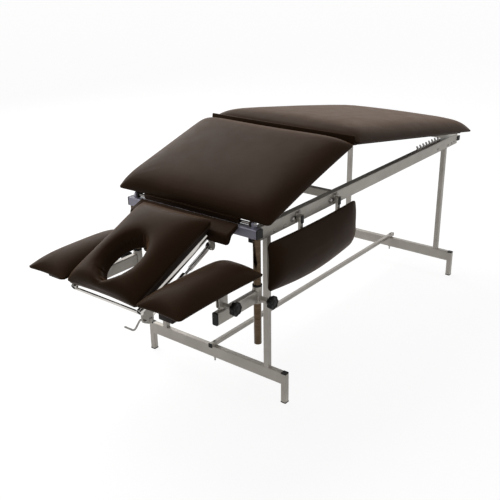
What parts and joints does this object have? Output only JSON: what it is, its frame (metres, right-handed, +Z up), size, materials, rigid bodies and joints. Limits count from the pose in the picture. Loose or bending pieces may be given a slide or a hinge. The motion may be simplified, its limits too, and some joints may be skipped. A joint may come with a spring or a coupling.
{
  "type": "massage table",
  "caption": "Massage table with a back and foot section that fold up into a low roof, a tilting headrest with a face hole, arm rests on posts and side pads that swing out.",
  "frame": {"origin": "on the floor, below the middle of the table's bounding box", "axes": "+X from the head end to the foot end, +Y to the table's left side (seen from the head end, looking to the foot), +Z up"},
  "size_m": [1.9402, 0.6716, 0.8637],
  "materials": {
    "grey_steel": "satin",
    "chrome_steel": "polished",
    "zinc_steel": "satin",
    "black_plastic": "satin",
    "brown_vinyl": "satin",
    "dark_board": "matte"
  },
  "bodies": {
    "frame": {"head_base": "grey_steel", "foot_base": "grey_steel", "base_cap_head_left": "black_plastic", "base_cap_head_right": "black_plastic", "base_cap_foot_left": "black_plastic", "base_cap_foot_right": "black_plastic", "leg_head_left": "grey_steel", "leg_head_right": "grey_steel", "leg_foot_left": "grey_steel", "leg_foot_right": "grey_steel", "rail_left": "grey_steel", "rail_right": "grey_steel", "stretcher": "grey_steel", "mid_crossbar": "grey_steel", "foot_crossbar": "grey_steel", "rack_left": "zinc_steel", "rack_right": "zinc_steel", "head_crossbar": "grey_steel", "crossbar_plug_left": "black_plastic", "crossbar_plug_right": "black_plastic", "back_hinge_rod": "zinc_steel", "arm_post_left": "chrome_steel", "arm_post_right": "chrome_steel", "neck_block": "dark_board", "strut_bracket": "grey_steel", "side_bracket_left_head": "grey_steel", "side_bracket_left_foot": "grey_steel", "side_bracket_right_head": "grey_steel", "side_bracket_right_foot": "grey_steel"},
    "back_section": {"back_board": "dark_board", "back_pad": "brown_vinyl"},
    "foot_section": {"foot_board": "dark_board", "foot_pad": "brown_vinyl", "ridge_strip": "brown_vinyl", "slide_rod": "zinc_steel"},
    "headrest": {"headrest_board": "dark_board", "headrest_pad": "brown_vinyl", "headrest_tube_left": "chrome_steel", "headrest_tube_right": "chrome_steel", "headrest_front_bar": "chrome_steel"},
    "strut_tube": {"strut_tube": "chrome_steel"},
    "strut_rod": {"strut_rod": "zinc_steel", "strut_spring": "zinc_steel"},
    "release_lever": {"release_lever": "zinc_steel"},
    "arm_bush_left": {"arm_bush_left": "black_plastic"},
    "arm_sleeve_left": {"arm_sleeve_left": "grey_steel"},
    "arm_rest_left": {"arm_board_left": "dark_board", "arm_pad_left": "brown_vinyl"},
    "lift_knob_left": {"lift_knob_left": "black_plastic"},
    "tilt_knob_left": {"tilt_knob_left": "black_plastic"},
    "arm_bush_right": {"arm_bush_right": "black_plastic"},
    "arm_sleeve_right": {"arm_sleeve_right": "grey_steel"},
    "arm_rest_right": {"arm_board_right": "dark_board", "arm_pad_right": "brown_vinyl"},
    "lift_knob_right": {"lift_knob_right": "black_plastic"},
    "tilt_knob_right": {"tilt_knob_right": "black_plastic"},
    "side_pad_left": {"side_carrier_left": "grey_steel", "side_pad_left": "brown_vinyl"},
    "side_pad_right": {"side_carrier_right": "grey_steel", "side_pad_right": "brown_vinyl"}
  },
  "joints": [
    {"name": "back_tilt", "type": "hinge", "parent": "frame", "child": "back_section", "pos_m": [-0.54915, 0, 0.6615], "axis": [0, -1, 0], "range_deg": [-16.8, 14]},
    {"name": "ridge_bend", "type": "hinge", "parent": "back_section", "child": "foot_section", "pos_m": [-0.07815, 0, 0.8037], "axis": [0, 1, 0], "range_deg": [-25.41, 21.18]},
    {"name": "headrest_tilt", "type": "hinge", "parent": "frame", "child": "headrest", "pos_m": [-0.61415, 0, 0.66], "axis": [0, 1, 0], "range_deg": [-10, 28]},
    {"name": "strut_rod_swing", "type": "hinge", "parent": "frame", "child": "strut_rod", "pos_m": [-0.59715, -0.112, 0.572], "axis": [0, 1, 0], "range_deg": [-10.24, 28.66]},
    {"name": "strut_tube_swing", "type": "hinge", "parent": "headrest", "child": "strut_tube", "pos_m": [-0.88401, -0.112, 0.43747], "axis": [0, 1, 0], "range_deg": [-0.24, 0.66]},
    {"name": "release_pull", "type": "hinge", "parent": "headrest", "child": "release_lever", "pos_m": [-0.90927, -0.125, 0.4446], "axis": [0, 1, 0], "range_deg": [0, 20], "stiffness_Nm_per_rad": 0.4, "springref_deg": -11.46},
    {"name": "arm_lift_left", "type": "slide", "parent": "frame", "child": "arm_bush_left", "axis": [0, 0, 1], "range_m": [-0.112, 0.016]},
    {"name": "arm_swivel_left", "type": "hinge", "parent": "arm_bush_left", "child": "arm_sleeve_left", "pos_m": [-0.55415, 0.267, 0.396], "axis": [0, 0, -1], "range_deg": [0, 25]},
    {"name": "arm_tilt_left", "type": "hinge", "parent": "arm_sleeve_left", "child": "arm_rest_left", "pos_m": [-0.72615, 0.267, 0.457], "axis": [0, 1, 0], "range_deg": [-10, 20]},
    {"name": "lift_knob_turn_left", "type": "hinge", "parent": "arm_sleeve_left", "child": "lift_knob_left", "pos_m": [-0.55415, 0.327, 0.411], "axis": [0, 1, 0], "continuous": true},
    {"name": "tilt_knob_turn_left", "type": "hinge", "parent": "arm_rest_left", "child": "tilt_knob_left", "pos_m": [-0.72615, 0.319, 0.457], "axis": [0, 1, 0], "continuous": true},
    {"name": "arm_lift_right", "type": "slide", "parent": "frame", "child": "arm_bush_right", "axis": [0, 0, 1], "range_m": [-0.12, 0.008]},
    {"name": "arm_swivel_right", "type": "hinge", "parent": "arm_bush_right", "child": "arm_sleeve_right", "pos_m": [-0.55415, -0.267, 0.404], "axis": [0, 0, 1], "range_deg": [0, 25]},
    {"name": "arm_tilt_right", "type": "hinge", "parent": "arm_sleeve_right", "child": "arm_rest_right", "pos_m": [-0.72615, -0.267, 0.465], "axis": [0, 1, 0], "range_deg": [-10, 20]},
    {"name": "lift_knob_turn_right", "type": "hinge", "parent": "arm_sleeve_right", "child": "lift_knob_right", "pos_m": [-0.55415, -0.327, 0.419], "axis": [0, -1, 0], "continuous": true},
    {"name": "tilt_knob_turn_right", "type": "hinge", "parent": "arm_rest_right", "child": "tilt_knob_right", "pos_m": [-0.72615, -0.319, 0.465], "axis": [0, -1, 0], "continuous": true},
    {"name": "side_pad_swing_left", "type": "hinge", "parent": "frame", "child": "side_pad_left", "pos_m": [-0.19415, 0.261, 0.6145], "axis": [1, 0, 0], "range_deg": [0, 90]},
    {"name": "side_pad_swing_right", "type": "hinge", "parent": "frame", "child": "side_pad_right", "pos_m": [-0.19415, -0.261, 0.6145], "axis": [-1, 0, 0], "range_deg": [0, 90]}
  ],
  "couplings": [
    {"joint": "ridge_bend", "follows": "back_tilt", "ratio": 1.512},
    {"joint": "strut_rod_swing", "follows": "headrest_tilt", "ratio": 1.0231},
    {"joint": "strut_tube_swing", "follows": "headrest_tilt", "ratio": 0.0231}
  ]
}
